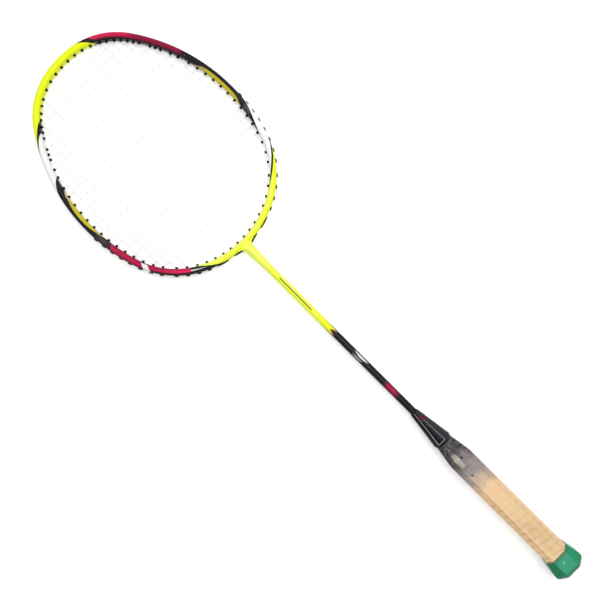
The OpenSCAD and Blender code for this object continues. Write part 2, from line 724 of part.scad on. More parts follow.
function main_half(sx) = [for (m = [0 : last_main]) each concat(
    m % 2 == 0 ? flip(main_line(m, sx)) : main_line(m, sx),
    m == last_main ? [] : let (s = m % 2 == 0 ? lower : upper)
        run(main_hole(m, sx, s), main_hole(m + 1, sx, s), main_lane))];
main_end = last_main % 2 == 0 ? lower : upper;
main_tie = nearest_cross(last_main, main_end) + main_end;
function main_tail(sx) =
    concat(run(main_hole(last_main, sx, main_end), cross_hole(main_tie, sx), main_lane),
        tail(cross_hole(main_tie, sx), main_lane));
main_path = concat(flip(main_tail(left)), flip(main_half(left)),
    run(main_hole(0, left, upper), main_hole(0, right, upper), main_lane),
    main_half(right), main_tail(right));

function tie_main(j) = floor(cross_hit(j).x / main_pitch - 0.5);
cross_last_side = top_cross % 2 == 0 ? right : left;
start_hole = main_hole(tie_main(top_cross), left, upper);
finish_hole = main_hole(tie_main(0), cross_last_side, lower);
cross_path = concat(
    tail(start_hole, cross_lane), run(start_hole, cross_hole(top_cross, left), cross_lane),
    [for (i = [0 : top_cross]) let (j = top_cross - i, sx = i % 2 == 0 ? right : left) each concat(
        sx > 0 ? cross_line(j) : flip(cross_line(j)),
        j == 0 ? [] : run(cross_hole(j, sx), cross_hole(j - 1, sx), cross_lane))],
    run(cross_hole(0, cross_last_side), finish_hole, cross_lane), tail(finish_hole, cross_lane));

// Sweeps a round string along a path that never runs square to its own plane
function ring_at(path, i) =
    let (
        p = path[i],
        before = i > 0 ? unit(p - path[i - 1]) : unit(path[1] - p),
        after = i < len(path) - 1 ? unit(path[i + 1] - p) : before,
        along = unit(before + after),
        side = unit(cross([0, 0, 1], along)),
        up = cross(along, side),
        mitre = min(1 / (along * before), most_mitre)
    )
    [for (k = [0 : string_sides - 1]) let (a = 360 * k / string_sides)
        p + string_d / 2 * (mitre * cos(a) * side + sin(a) * up)];
module swept_string(path) {
    n = string_sides;
    rings = len(path);
    points = [for (i = [0 : rings - 1]) each ring_at(path, i)];
    walls = [for (i = [0 : rings - 2], k = [0 : n - 1])
        let (a = i * n + k, b = i * n + (k + 1) % n) each [[a, a + n, b], [b, a + n, b + n]]];
    ends = [for (k = [1 : n - 2]) each [[0, k, k + 1], let (e = (rings - 1) * n) [e, e + k + 1, e + k]]];
    polyhedron(points, concat(walls, ends));
}

module main_string() color([0.97, 0.97, 0.95]) swept_string(main_path);
module cross_string() color([0.95, 0.95, 0.97]) swept_string(cross_path);

// A knot is two turns of the string's end round the string beside it
module knot(line) {
    from = line[0];
    way = unit(line[1] - from);
    mid = from + way * (tail_out + string_d + knot_gap);
    translate(mid) rotate([0, acos(way.z), atan2(way.y, way.x)])
        for (s = [-1, 1]) translate([0, 0, s * (string_d - knot_overlap) / 2])
            rotate_extrude($fn = 48) translate([string_d + string_gap, 0]) circle(d = string_d, $fn = 24);
}

module string_knots() color([0.97, 0.97, 0.95]) {
    knot(cross_line(main_tie));
    knot(flip(cross_line(main_tie)));
    knot(flip(main_line(tie_main(top_cross), left)));
    knot(main_line(tie_main(0), cross_last_side));
}

hoop_frame();
throat_core();
shaft();
cone_cap();
handle_front();
handle_back();
butt_cap();
shaft_pin();
handle_nail();
main_string();
cross_string();
string_knots();
grommets_crown();
grommets_shoulder(left, upper);  // grommets_upper_left
grommets_shoulder(right, upper);  // grommets_upper_right
grommets_side(left);  // grommets_side_left
grommets_side(right);  // grommets_side_right
grommets_shoulder(left, lower);  // grommets_lower_left
grommets_shoulder(right, lower);  // grommets_lower_right
grommets_throat();
throat_strip(left);  // throat_strip_left
throat_strip(right);  // throat_strip_right
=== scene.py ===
import math

import bmesh
import bpy
from mathutils import Matrix, Vector


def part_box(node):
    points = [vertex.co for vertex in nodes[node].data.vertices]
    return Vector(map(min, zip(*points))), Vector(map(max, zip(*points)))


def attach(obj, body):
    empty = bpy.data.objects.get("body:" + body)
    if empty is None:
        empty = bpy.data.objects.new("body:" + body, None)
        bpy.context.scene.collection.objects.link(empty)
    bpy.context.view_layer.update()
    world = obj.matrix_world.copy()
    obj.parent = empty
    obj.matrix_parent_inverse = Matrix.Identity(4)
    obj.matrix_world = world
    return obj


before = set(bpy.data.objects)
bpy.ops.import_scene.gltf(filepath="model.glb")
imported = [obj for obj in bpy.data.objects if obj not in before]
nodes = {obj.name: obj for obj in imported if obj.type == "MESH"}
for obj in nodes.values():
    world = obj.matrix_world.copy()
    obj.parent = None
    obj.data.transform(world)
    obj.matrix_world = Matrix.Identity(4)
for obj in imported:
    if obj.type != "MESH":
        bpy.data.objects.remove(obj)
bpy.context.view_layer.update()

mm = 0.001
hoopLow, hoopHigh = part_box("hoop_frame")
shaftLow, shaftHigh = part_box("shaft")
capLow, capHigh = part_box("butt_cap")

# straight above the string bed: places and the width seen in millimetres, the turn in degrees
camera = {
    "height": 600, "along": 357, "across": -0.9, "turn": 45.12, "seen": 560.1, "sensor": 36,
    "nearest": 0.01, "furthest": 20,  # metres
}


def buildCamera():
    data = bpy.data.cameras.new("camera")
    data.sensor_width = camera["sensor"]
    data.lens = data.sensor_width * camera["height"] / camera["seen"]
    data.clip_start, data.clip_end = camera["nearest"], camera["furthest"]
    eye = bpy.data.objects.new("camera", data)
    bpy.context.scene.collection.objects.link(eye)
    turned = Matrix.Rotation(math.radians(-camera["turn"]), 4, "Z")
    spot = Vector((camera["across"], camera["along"], camera["height"])) * mm
    eye.matrix_world = Matrix.Translation(spot) @ turned
    bpy.context.scene.camera = eye


buildCamera()
print("camera placed")


def addNode(tree, kind, **settings):
    node = tree.nodes.new(kind)
    for name, value in settings.items():
        setattr(node, name, value)
    return node


def plug(tree, value, socket):
    # links a socket, and sets a number or a colour
    if isinstance(value, bpy.types.NodeSocket):
        tree.links.new(value, socket)
    elif socket.type == "RGBA" and len(value) == 3:
        socket.default_value = (*value, 1)
    else:
        socket.default_value = value


def calc(tree, operation, *values, clamp=False):
    node = addNode(tree, "ShaderNodeMath", operation=operation, use_clamp=clamp)
    for value, socket in zip(values, node.inputs):
        plug(tree, value, socket)
    return node.outputs[0]


def vectorCalc(tree, operation, *values):
    node = addNode(tree, "ShaderNodeVectorMath", operation=operation)
    for value, socket in zip(values, node.inputs):
        plug(tree, value, socket)
    return node.outputs["Value" if operation in ("DOT_PRODUCT", "LENGTH") else "Vector"]


def split(tree, vector):
    node = addNode(tree, "ShaderNodeSeparateXYZ")
    plug(tree, vector, node.inputs[0])
    return node.outputs


def mixColour(tree, mask, under, over):
    node = addNode(tree, "ShaderNodeMix", data_type="RGBA")
    plug(tree, mask, node.inputs[0])
    plug(tree, under, node.inputs[6])
    plug(tree, over, node.inputs[7])
    return node.outputs[2]


def remap(tree, value, fromLow, fromHigh, toLow=0.0, toHigh=1.0):
    node = addNode(tree, "ShaderNodeMapRange")
    for number, socket in zip((value, fromLow, fromHigh, toLow, toHigh), node.inputs):
        plug(tree, number, socket)
    return node.outputs[0]


def softStep(tree, value, limit, soft):
    # from 0 to 1 as the value passes the limit, over a soft width
    share = calc(tree, "DIVIDE", calc(tree, "SUBTRACT", value, limit), soft)
    return calc(tree, "ADD", share, 0.5, clamp=True)


def distance(tree, value, place):
    return calc(tree, "ABSOLUTE", calc(tree, "SUBTRACT", value, place))


def near(tree, value, place, width, strength=1.0):
    # a soft line or spot: full at the place, nothing a width away
    return remap(tree, distance(tree, value, place), width, 0, 0, strength)


def noise(tree, vector, scale, detail=2.0, roughness=0.5):
    # scale is a number, or one for each axis
    if isinstance(scale, tuple):
        vector = vectorCalc(tree, "MULTIPLY", vector, scale)
        scale = 1
    node = addNode(tree, "ShaderNodeTexNoise")
    plug(tree, vector, node.inputs["Vector"])
    node.inputs["Scale"].default_value = scale
    node.inputs["Detail"].default_value = detail
    node.inputs["Roughness"].default_value = roughness
    return node.outputs["Fac"]


def newGroup(name, inputs, outputs):
    tree = bpy.data.node_groups.new(name, "ShaderNodeTree")
    for label, kind, value in inputs:
        socket = tree.interface.new_socket(label, in_out="INPUT", socket_type="NodeSocket" + kind)
        if value is not None:
            socket.default_value = value
    for label in outputs:
        tree.interface.new_socket(label, in_out="OUTPUT", socket_type="NodeSocketFloat")
    given, result = addNode(tree, "NodeGroupInput"), addNode(tree, "NodeGroupOutput")
    return tree, given.outputs, result.inputs


def useGroup(tree, group, values):
    node = addNode(tree, "ShaderNodeGroup", node_tree=group)
    for name, value in values.items():
        plug(tree, value, node.inputs[name])
    return node.outputs


def newMaterial(name, shader):
    material = bpy.data.materials.new(name)
    material.use_nodes = True
    tree = material.node_tree
    sockets = tree.nodes["Principled BSDF"].inputs
    for label, value in shader.items():
        plug(tree, value, sockets[label])
    return material, tree, sockets


def addBump(tree, height, strength, depth, socket):
    node = addNode(tree, "ShaderNodeBump")
    plug(tree, height, node.inputs["Height"])
    node.inputs["Strength"].default_value = strength
    node.inputs["Distance"].default_value = depth * mm
    tree.links.new(node.outputs[0], socket)


def dress(material, *names):
    for name in names:
        nodes[name].data.materials.clear()
        nodes[name].data.materials.append(material)


def objectPoint(tree):
    return addNode(tree, "ShaderNodeTexCoord").outputs["Object"]


def buildBandGroup():
    # a painted band between two curved borders; a border is its place at the inner side of the
    # tube, at its middle and at its outer side
    tree, given, result = newGroup("paintBand", [
        ("Along", "Float", 0), ("Side", "Float", 0), ("From", "Vector", None),
        ("To", "Vector", None), ("Reach", "Float", 6), ("Inner", "Float", -99),
        ("Outer", "Float", 99), ("Soft Along", "Float", 0.25), ("Soft Side", "Float", 0.15)],
        ["Mask"])
    share = calc(tree, "DIVIDE", given["Side"], given["Reach"])
    square = calc(tree, "MULTIPLY", share, share)

    def border(vector):
        inner, middle, outer = split(tree, vector)
        slope = calc(tree, "MULTIPLY", calc(tree, "SUBTRACT", outer, inner), 0.5)
        mean = calc(tree, "MULTIPLY", calc(tree, "ADD", inner, outer), 0.5)
        curve = calc(tree, "SUBTRACT", mean, middle)
        bent = calc(tree, "ADD", calc(tree, "MULTIPLY", slope, share),
                    calc(tree, "MULTIPLY", curve, square))
        return calc(tree, "ADD", middle, bent)

    along = calc(tree, "MULTIPLY",
                 softStep(tree, given["Along"], border(given["From"]), given["Soft Along"]),
                 softStep(tree, border(given["To"]), given["Along"], given["Soft Along"]))
    side = calc(tree, "MULTIPLY",
                softStep(tree, given["Side"], given["Inner"], given["Soft Side"]),
                softStep(tree, given["Outer"], given["Side"], given["Soft Side"]))
    tree.links.new(calc(tree, "MULTIPLY", along, side), result["Mask"])
    return tree


def buildLensGroup():
    # a painted stripe that swells in its middle and tapers to both ends
    tree, given, result = newGroup("paintLens", [
        ("Along", "Float", 0), ("Side", "Float", 0), ("Middle", "Float", 0), ("Half", "Float", 1),
        ("Power", "Float", 2), ("Low", "Float", 0), ("Low Swell", "Float", 0),
        ("High", "Float", 0), ("High Swell", "Float", 1), ("Soft", "Float", 0.2)], ["Mask"])
    fromMiddle = calc(tree, "SUBTRACT", given["Along"], given["Middle"])
    share = calc(tree, "ABSOLUTE", calc(tree, "DIVIDE", fromMiddle, given["Half"]))
    swell = calc(tree, "SUBTRACT", 1, calc(tree, "POWER", share, given["Power"]))
    high = calc(tree, "MULTIPLY_ADD", given["High Swell"], swell, given["High"])
    low = calc(tree, "MULTIPLY_ADD", given["Low Swell"], swell, given["Low"])
    between = calc(tree, "MULTIPLY", softStep(tree, high, given["Side"], given["Soft"]),
                   softStep(tree, given["Side"], low, given["Soft"]))
    within = calc(tree, "LESS_THAN", share, 1)
    tree.links.new(calc(tree, "MULTIPLY", between, within), result["Mask"])
    return tree


# in the tables a noise is its scale, detail and roughness, a level is where a noise comes in, and
# a bump is its strength and its depth in millimetres
lacquer = {
    "peel": (900, 2), "haze": (60, 3), "hairs": ((2600, 240, 2600), 2, 0.6),
    "hairLevel": (0.68, 0.74), "hazeLevel": (0.5, 0.62), "hazeRough": (0.35, 0.75, 0, 0.08),
    "scuffRough": 0.3, "peelHeight": 0.35, "bump": (0.2, 0.05),
}


def buildLacquerGroup():
    # orange peel, hairline scuffs and dust of a lacquered surface
    tree, given, result = newGroup("lacquerWear", [
        ("Vector", "Vector", None), ("Gloss", "Float", 0.12), ("Scuffs", "Float", 0.5)],
        ["Roughness", "Height", "Scuff"])
    peel, haze, hairs = (noise(tree, given["Vector"], *lacquer[name])
                         for name in ("peel", "haze", "hairs"))
    scuff = calc(tree, "MULTIPLY", remap(tree, hairs, *lacquer["hairLevel"]),
                 remap(tree, haze, *lacquer["hazeLevel"]))
    scuff = calc(tree, "MULTIPLY", scuff, given["Scuffs"])
    rough = calc(tree, "ADD", given["Gloss"], remap(tree, haze, *lacquer["hazeRough"]))
    rough = calc(tree, "MULTIPLY_ADD", scuff, lacquer["scuffRough"], rough)
    height = calc(tree, "SUBTRACT", calc(tree, "MULTIPLY", peel, lacquer["peelHeight"]), scuff)
    tree.links.new(rough, result["Roughness"])
    tree.links.new(height, result["Height"])
    tree.links.new(scuff, result["Scuff"])
    return tree


moulding = {
    "spark": (2500, 3, 0.6), "cloud": (90, 3), "cloudRough": (0.3, 0.7, -0.06, 0.08),
    "cloudShade": (0.3, 0.7, 0.9, 1.06),
}


def buildMouldGroup():
    # the fine spark texture and cloudiness of a moulded plastic
    tree, given, result = newGroup("mouldedPlastic", [
        ("Vector", "Vector", None), ("Grain", "Float", 1), ("Rough", "Float", 0.4)],
        ["Roughness", "Height", "Shade"])
    spark = noise(tree, given["Vector"], *moulding["spark"])
    cloud = noise(tree, given["Vector"], *moulding["cloud"])
    rough = calc(tree, "ADD", given["Rough"], remap(tree, cloud, *moulding["cloudRough"]))
    tree.links.new(calc(tree, "MULTIPLY", spark, given["Grain"]), result["Height"])
    tree.links.new(rough, result["Roughness"])
    tree.links.new(remap(tree, cloud, *moulding["cloudShade"]), result["Shade"])
    return tree


paintBand = buildBandGroup()
paintLens = buildLensGroup()
lacquerWear = buildLacquerGroup()
mouldedPlastic = buildMouldGroup()
print("shared effects built")

# the lemon and grey tones are used only as painted highlights, on the yellow and on the black
# lacquer and plastic
colours = {
    "yellow": (0.86, 0.97, 0.006), "lemonHighlight": (0.98, 1.0, 0.28), "crimson": (0.70, 0.010, 0.085),
    "wine": (0.17, 0.003, 0.026), "ember": (0.62, 0.10, 0.02), "gold": (0.60, 0.50, 0.012),
    "straw": (0.46, 0.40, 0.15), "cream": (0.80, 0.72, 0.46), "white": (0.92, 0.92, 0.93),
    "silver": (0.50, 0.50, 0.52), "grey": (0.075, 0.07, 0.085), "black": (0.005, 0.004, 0.007),
    "scuff": (0.6, 0.6, 0.6),
}
far = 9  # further round than any tube goes, so a band with this limit has no edge there


def level(place):
    # a border straight across the tube
    return place, place, place


def paintLayers(tree, base, along, side, layers, softAlong, softSide):
    # a layer is (colour, strength, from, to, inner side, outer side, other values), or a lens
    colour = colours[base]
    for layer in layers:
        if isinstance(layer, dict):
            values = {"Soft": softSide, **layer}
            name, strength = values.pop("colour"), values.pop("strength", 1)
            group = paintLens
        else:
            name, strength, start, end, inner, outer, *others = layer
            values = {"From": start, "To": end, "Inner": inner, "Outer": outer,
                      "Soft Along": softAlong, "Soft Side": softSide}
            values.update(*others)
            group = paintBand
        mask = useGroup(tree, group, {"Along": along, "Side": side, **values})[0]
        colour = mixColour(tree, calc(tree, "MULTIPLY", mask, strength), colour, colours[name])
    return colour


# the hoop's lacquer lies in bands, placed by the angle round the hoop and the girth of the tube
hoop = {
    "toWidest": 132.6, "tubeHalf": 3.2, "flatHalf": 2.1,  # millimetres
    "neckFade": (430, 422), "neckMiddle": 0.5, "neckHighlight": (3.0, 0.6, 0, 0.36),
    "gloss": 0.2, "scuffs": 0.35, "softAlong": 0.3, "softSide": 0.2,
    # borders are angles in degrees from the tip at the inner side, the front and the outer side
    "layers": [
        # painted highlight: paler yellow towards the strings on both sides of the throat
        ("lemonHighlight", 0.42, level(-200), level(-158), -far, 0.6, {"Soft Along": 8, "Soft Side": 3}),
        ("lemonHighlight", 0.42, level(146), level(200), -far, 0.6, {"Soft Along": 8, "Soft Side": 3}),
        ("black", 1, (-150, -160, -171), (-55, -59.8, -74), -far, far),
        ("white", 1, (-55, -59.8, -74), (-32.6, -37.3, -56), -far, far),
        ("black", 1, (-32.6, -37.3, -56), (-26.7, -33.8, -55), -far, far),
        {"colour": "white", "strength": 0.65, "Middle": -150.5, "Half": 8.5, "Power": 1.2,
         "Low": 0.3, "Low Swell": -1.2, "High": 0.3, "High Swell": 0.4, "Soft": 0.5},
        ("crimson", 1, (-150, -151, -152), (-127, -128, -130), -far, 1.2),
        ("crimson", 1, (-126, -127, -129), (-105, -106.5, -108.3), -far, 1.9),
        ("wine", 0.45, level(-141), (-105, -106.5, -108.3), -far, 1.9, {"Soft Along": 9}),
        ("wine", 0.55, (-150, -151, -152), (-105, -106.5, -108.3), -far, -2.2, {"Soft Side": 1.4}),
        ("white", 0.9, (-128, -129.5, -132), (-124.6, -126, -128.5), -2.6, far),
        ("black", 1, (-129.5, -130, -131), (-124, -125, -126), -far, -2.6),
        # painted highlight: a grey sheen in the black lacquer
        ("grey", 0.7, level(-104), level(-97), -2.2, 1.2, {"Soft Along": 5, "Soft Side": 1.6}),
        {"colour": "gold", "Middle": -82.5, "Half": 18.8, "Power": 2.2, "Low": -far,
         "High": -5, "High Swell": 4.7},
        {"colour": "straw", "strength": 0.7, "Middle": -96.5, "Half": 4.5, "Power": 2,
         "Low": -far, "High": -5, "High Swell": 2.6, "Soft": 1.2},
        {"colour": "cream", "strength": 0.7, "Middle": -67.5, "Half": 3.6, "Power": 2,
         "Low": -5, "Low Swell": 1.2, "High": -5, "High Swell": 2.6, "Soft": 0.8},
        ("crimson", 1, (16, 11.5, 4), level(64), -far, far),
        ("wine", 0.8, level(31.5), level(66), -far, far, {"Soft Along": 5}),
        ("wine", 0.7, (16, 11.5, 4), level(64), -far, -0.9, {"Soft Side": 1.6}),
        ("black", 1, (16, 11.5, 4), level(60), -far, -2.3, {"Soft Side": 0.5}),
        ("black", 0.85, (16, 11.5, 4), level(60), 3.8, far, {"Soft Side": 0.9}),
        ("black", 1, (16, 11.5, 4), (18, 15.2, 9.5), -far, far),
        ("black", 1, (57, 56.5, 56), level(70), -far, far, {"Soft Along": 3.5}),
        ("black", 1, level(62), (128.5, 110.3, 93), -far, far),
        # painted highlight: a grey sheen in the black lacquer
        ("grey", 0.8, level(103.2), (112, 109, 104), -2.2, 1.4,
         {"Soft Along": 1.5, "Soft Side": 1.2}),
        ("white", 1, (128.5, 110.3, 93), (151.8, 134.5, 116.7), -far, far),
        ("black", 1, (151.8, 134.5, 116.7), (157.3, 139.9, 121.5), -far, far),
        {"colour": "gold", "Middle": 84.2, "Half": 17.8, "Power": 6, "Low": -far,
         "High": -5, "High Swell": 4.35},
        {"colour": "straw", "strength": 0.75, "Middle": 71, "Half": 5.5, "Power": 2,
         "Low": -far, "High": -5, "High Swell": 3.3, "Soft": 1.2},
    ],
}
widestY = hoopHigh.y - hoop["toWidest"] * mm


def tubeGirth(tree, normal, outward, z):
    # millimetres round the tube from its front line, less than nothing towards the strings
    facing = vectorCalc(tree, "DOT_PRODUCT", normal, outward)
    facing = calc(tree, "MINIMUM", calc(tree, "MAXIMUM", facing, -1), 1)
    tilt = calc(tree, "ARCSINE", calc(tree, "ABSOLUTE", facing))
    rounded = calc(tree, "MULTIPLY", tilt, hoop["tubeHalf"])
    height = calc(tree, "MULTIPLY", calc(tree, "ABSOLUTE", z), 1 / mm)
    flat = calc(tree, "MAXIMUM", calc(tree, "SUBTRACT", hoop["flatHalf"], height), 0)
    return calc(tree, "MULTIPLY", calc(tree, "ADD", rounded, flat), calc(tree, "SIGN", facing))


def finishLacquer(tree, shader, colour, point, gloss, scuffs):
    wear = useGroup(tree, lacquerWear, {"Vector": point, "Gloss": gloss, "Scuffs": scuffs})
    scuffed = mixColour(tree, wear["Scuff"], colour, colours["scuff"])
    plug(tree, scuffed, shader["Base Color"])
    plug(tree, wear["Roughness"], shader["Roughness"])
    addBump(tree, wear["Height"], *lacquer["bump"], shader["Normal"])


def buildHoopPaint():
    material, tree, shader = newMaterial("hoopLacquer", {
        "Specular IOR Level": 0.12, "Coat Weight": 0.09, "Coat Roughness": 0.04})
    here = addNode(tree, "ShaderNodeTexCoord").outputs
    x, y, z = split(tree, here["Object"])
    ahead = calc(tree, "SUBTRACT", y, widestY)
    angle = calc(tree, "MULTIPLY", calc(tree, "ARCTAN2", x, ahead), 180 / math.pi)
    joined = addNode(tree, "ShaderNodeCombineXYZ")
    plug(tree, x, joined.inputs[0])
    plug(tree, ahead, joined.inputs[1])
    outward = vectorCalc(tree, "NORMALIZE", joined.outputs[0])
    girth = tubeGirth(tree, here["Normal"], outward, z)
    colour = paintLayers(tree, "yellow", angle, girth, hoop["layers"],
                         hoop["softAlong"], hoop["softSide"])
    # painted highlight: the neck is paler along its middle
    acrossMm, alongMm = (calc(tree, "MULTIPLY", value, 1 / mm) for value in (x, y))
    middle = remap(tree, distance(tree, acrossMm, hoop["neckMiddle"]), *hoop["neckHighlight"])
    neck = calc(tree, "MULTIPLY", remap(tree, alongMm, *hoop["neckFade"]), middle)
    colour = mixColour(tree, neck, colour, colours["lemonHighlight"])
    finishLacquer(tree, shader, colour, here["Object"], hoop["gloss"], hoop["scuffs"])
    dress(material, "hoop_frame")


buildHoopPaint()
print("hoop painted")

shaft = {
    "gloss": 0.22, "scuffs": 0.5, "softAlong": 0.8, "softSide": 0.2,
    # borders are distances from the butt, and the side runs round the tube, both in millimetres
    "layers": [
        ("yellow", 1, level(311), level(420), -far, far),
        # painted highlight: paler yellow along the middle of the shaft's yellow part
        ("lemonHighlight", 0.32, level(330), level(420), -1.4, 2.4, {"Soft Along": 10, "Soft Side": 2.4}),
        {"colour": "crimson", "strength": 0.75, "Middle": 307.5, "Half": 11.5, "Power": 1,
         "Low": 0, "Low Swell": -6.2, "High": 0, "High Swell": 6.2, "Soft": 1.2},
        {"colour": "black", "Middle": 306, "Half": 12.5, "Power": 1, "Low": 0,
         "Low Swell": -4.4, "High": 0, "High Swell": 4.4, "Soft": 0.5},
        ("black", 1, level(200), level(309.5), -far, far, {"Soft Along": 1.5}),
        {"colour": "black", "Middle": 311, "Half": 27, "Power": 1.4, "Low": 5.5,
         "Low Swell": -2.6, "High": 12, "High Swell": 0},
        {"colour": "black", "Middle": 311, "Half": 27, "Power": 1.4, "Low": -12,
         "Low Swell": 0, "High": -5.5, "High Swell": 2.6},
        ("black", 1, level(343), level(385), -0.25, 0.75),
        ("ember", 0.8, level(327), level(342), 0.05, 0.3, {"Soft Along": 4}),
        {"colour": "white", "strength": 0.8, "Middle": 279, "Half": 9, "Power": 2,
         "Low": 2.3, "Low Swell": -2.0, "High": 2.3, "High Swell": 0.3},
        {"colour": "silver", "strength": 0.75, "Middle": 281.5, "Half": 7, "Power": 2,
         "Low": -1.2, "Low Swell": -1.4, "High": -1.2, "High Swell": 0.2},
        ("wine", 1, level(231), level(246), -4.6, 3.4, {"Soft Along": 5, "Soft Side": 1.5}),
        ("crimson", 0.42, level(232.5), level(244.5), -1.4, 2.4,
         {"Soft Along": 5, "Soft Side": 1.6}),
    ],
}


def tubeSide(tree, point, radius):
    # millimetres round a tube from its front line, the same on the back, and along it
    x, y, z = split(tree, point)
    turn = calc(tree, "ARCTAN2", x, calc(tree, "ABSOLUTE", z))
    return calc(tree, "MULTIPLY", turn, radius), calc(tree, "MULTIPLY", y, 1 / mm)


shaftRadius = (shaftHigh.x - shaftLow.x) / 2 / mm


def buildShaftPaint():
    material, tree, shader = newMaterial("shaftLacquer", {
        "Specular IOR Level": 0.09, "Coat Weight": 0.1, "Coat Roughness": 0.04})
    point = objectPoint(tree)
    side, along = tubeSide(tree, point, shaftRadius)
    colour = paintLayers(tree, "black", along, side, shaft["layers"],
                         shaft["softAlong"], shaft["softSide"])
    finishLacquer(tree, shader, colour, point, shaft["gloss"], shaft["scuffs"])
    dress(material, "shaft")


buildShaftPaint()
print("shaft painted")

cone = {
    "gloss": 0.24, "scuffs": 0.8, "scuffTone": (0.45, 0.45, 0.47), "grain": 0.6, "rough": 0.3,
    "softAlong": 0.3, "softSide": 0.1,
    # the side is measured as on the shaft, so a lens with a power of 1 is a straight slanting line
    "layers": [
        {"colour": "white", "strength": 0.75, "Middle": 209, "Half": 37, "Power": 1,
         "Low": -2.32, "Low Swell": 1.2, "High": -2.14, "High Swell": 1.2},
        ("white", 0.5, level(172.2), level(199), 0.86, 1.0),
        ("white", 0.4, level(171.9), level(172.4), -2.1, 1.0),
        # painted highlight: a grey band down the cone's +X side
        ("grey", 0.4, level(166), level(209), 1.2, 4.5, {"Soft Side": 1.5}),
        ("wine", 1, level(198), level(202.6), 0.3, 2.4, {"Soft Along": 1.2, "Soft Side": 0.6}),
    ],
}


def buildConePlastic():
    material, tree, shader = newMaterial("conePlastic", {
        "Specular IOR Level": 0.06, "Coat Weight": 0.06, "Coat Roughness": 0.06})
    point = objectPoint(tree)
    side, along = tubeSide(tree, point, shaftRadius)
    colour = paintLayers(tree, "black", along, side, cone["layers"],
                         cone["softAlong"], cone["softSide"])
    plastic = useGroup(tree, mouldedPlastic, {
        "Vector": point, "Grain": cone["grain"], "Rough": cone["rough"]})
    wear = useGroup(tree, lacquerWear, {
        "Vector": point, "Gloss": cone["gloss"], "Scuffs": cone["scuffs"]})
    scuffed = mixColour(tree, wear["Scuff"], colour, cone["scuffTone"])
    plug(tree, scuffed, shader["Base Color"])
    rough = calc(tree, "MAXIMUM", wear["Roughness"], plastic["Roughness"])
    plug(tree, rough, shader["Roughness"])
    height = calc(tree, "ADD", plastic["Height"], wear["Height"])
    addBump(tree, height, *lacquer["bump"], shader["Normal"])
    dress(material, "cone_cap")


buildConePlastic()
print("cone cap painted")

# the cap's rim, which lies lower on the front and back facets
rim = {"bend": 7.2, "slope": 0.245, "drop": 1.3}


def capRim(tree, across):
    # how far up the handle the rim reaches, in millimetres
    past = calc(tree, "SUBTRACT", calc(tree, "ABSOLUTE", across), rim["bend"])
    past = calc(tree, "MAXIMUM", past, 0)
    return calc(tree, "MULTIPLY_ADD", past, rim["slope"], capHigh.y / mm - rim["drop"])


wood = {
    "pale": (0.90, 0.64, 0.37), "dark": (0.76, 0.50, 0.26), "stain": (0.42, 0.22, 0.10),
    "rose": (0.90, 0.50, 0.32), "moss": (0.72, 0.66, 0.30), "cream": (0.84, 0.78, 0.52),
    "rimShadowTone": (0.035, 0.07, 0.02), "grey": (0.29, 0.26, 0.28), "soot": (0.014, 0.012, 0.015),
    "speck": (0.10, 0.085, 0.095), "bared": (0.64, 0.62, 0.47), "scratch": (0.45, 0.44, 0.46),
    # noises, scaled across and along the grain, and the levels at which each one shows
    "rings": ((260, 9, 260), 3, 0.55), "fibres": ((2400, 60, 2400), 3, 0.6),
    "patches": ((60, 26, 60), 2, 0.5), "blotches": ((330, 130, 330), 2, 0.5),
    "speckle": ((1100, 700, 1100), 3, 0.7), "hairs": ((1500, 70, 1500), 2, 0.5),
    "cloud": (70, 4, 0.6), "fibreShare": 0.45, "grainLevel": (0.40, 0.66),
    "roseLevel": (0.52, 0.72, 0, 0.4), "mossLevel": (0.46, 0.28, 0, 0.35),
    "stainLevel": (0.58, 0.78, 0, 0.3), "fibreHeight": 0.7, "ringHeight": 0.3,
    "bump": (0.35, 0.2),
    # marks of the old tape: turns a pitch apart, darker on the facets that face -X, which is
    # painted shade, fading out towards the cone
    "tapePitch": 7.6, "tapeSlant": 0.03, "tapeWander": 1.1, "tapeWidth": 0.2,
    "tapeDepth": (0.40, 0.62, 0.10, 0.42), "tapeShadeSide": (-0.3, -0.7, 0.6, 1.5),
    "tapeFade": (112, 92),
    # a soft line or spot is its place, width and strength, in millimetres: dirt and a painted
    # highlight along the facets' edges, a rosy stain on the right, and the lines along the cap's
    # rim, the nearer one painted shadow
    "dirtLine": (6.9, 0.8, 0.3), "edgeHighlightLine": (5.4, 1.0, 0.18), "rosyAlong": (107, 9),
    "rosyLevel": (0.46, 0.62, 0, 0.55), "rosySide": (0, 5),
    "creamLine": (2.3, 1.6, 0, 0.8), "rimShadowLine": (1.25, 0.85, 0, 0.95),
    # black spray, and where it has worn off or is scratched
    "sprayGrey": (113, 131, 0, 0.9), "sprayBlack": (141, 162), "sprayDrift": (0.3, 0.7, -8, 8),
    "sprayEdge": (6, 11), "sprayEdgeLift": 7, "speckFrom": (122, 140),
    "speckLevel": (0.42, 0.62, 0, 0.45), "wornAlong": (149.5, 9, 1.8),
    "wornAcross": (-3.2, 3.2, 1.8), "wornLevel": (0.40, 0.60, 0.1, 0.75),
    "scratchAlong": (164, 9, 1.5), "scratchLevel": (0.60, 0.68, 0, 0.55), "scratchMost": 0.6,
    "tickAlong": (167.4, 0.5, 0.6), "tickAcross": (5, 3, 1.4),
    "sprayGloss": (125, 165, 0.62, 0.36),
    # stained ring round each of the small metal parts: its radius and tone, how far out it is
    # full, and how strong
    "rounds": {"shaft_pin": (1.7, (0.006, 0.005, 0.006)),
               "handle_nail": (1.6, (0.13, 0.085, 0.06))},
    "roundFull": 0.6, "roundTone": 0.9, "seamHalf": (0.25, 0.1), "seamTone": 0.6,
}


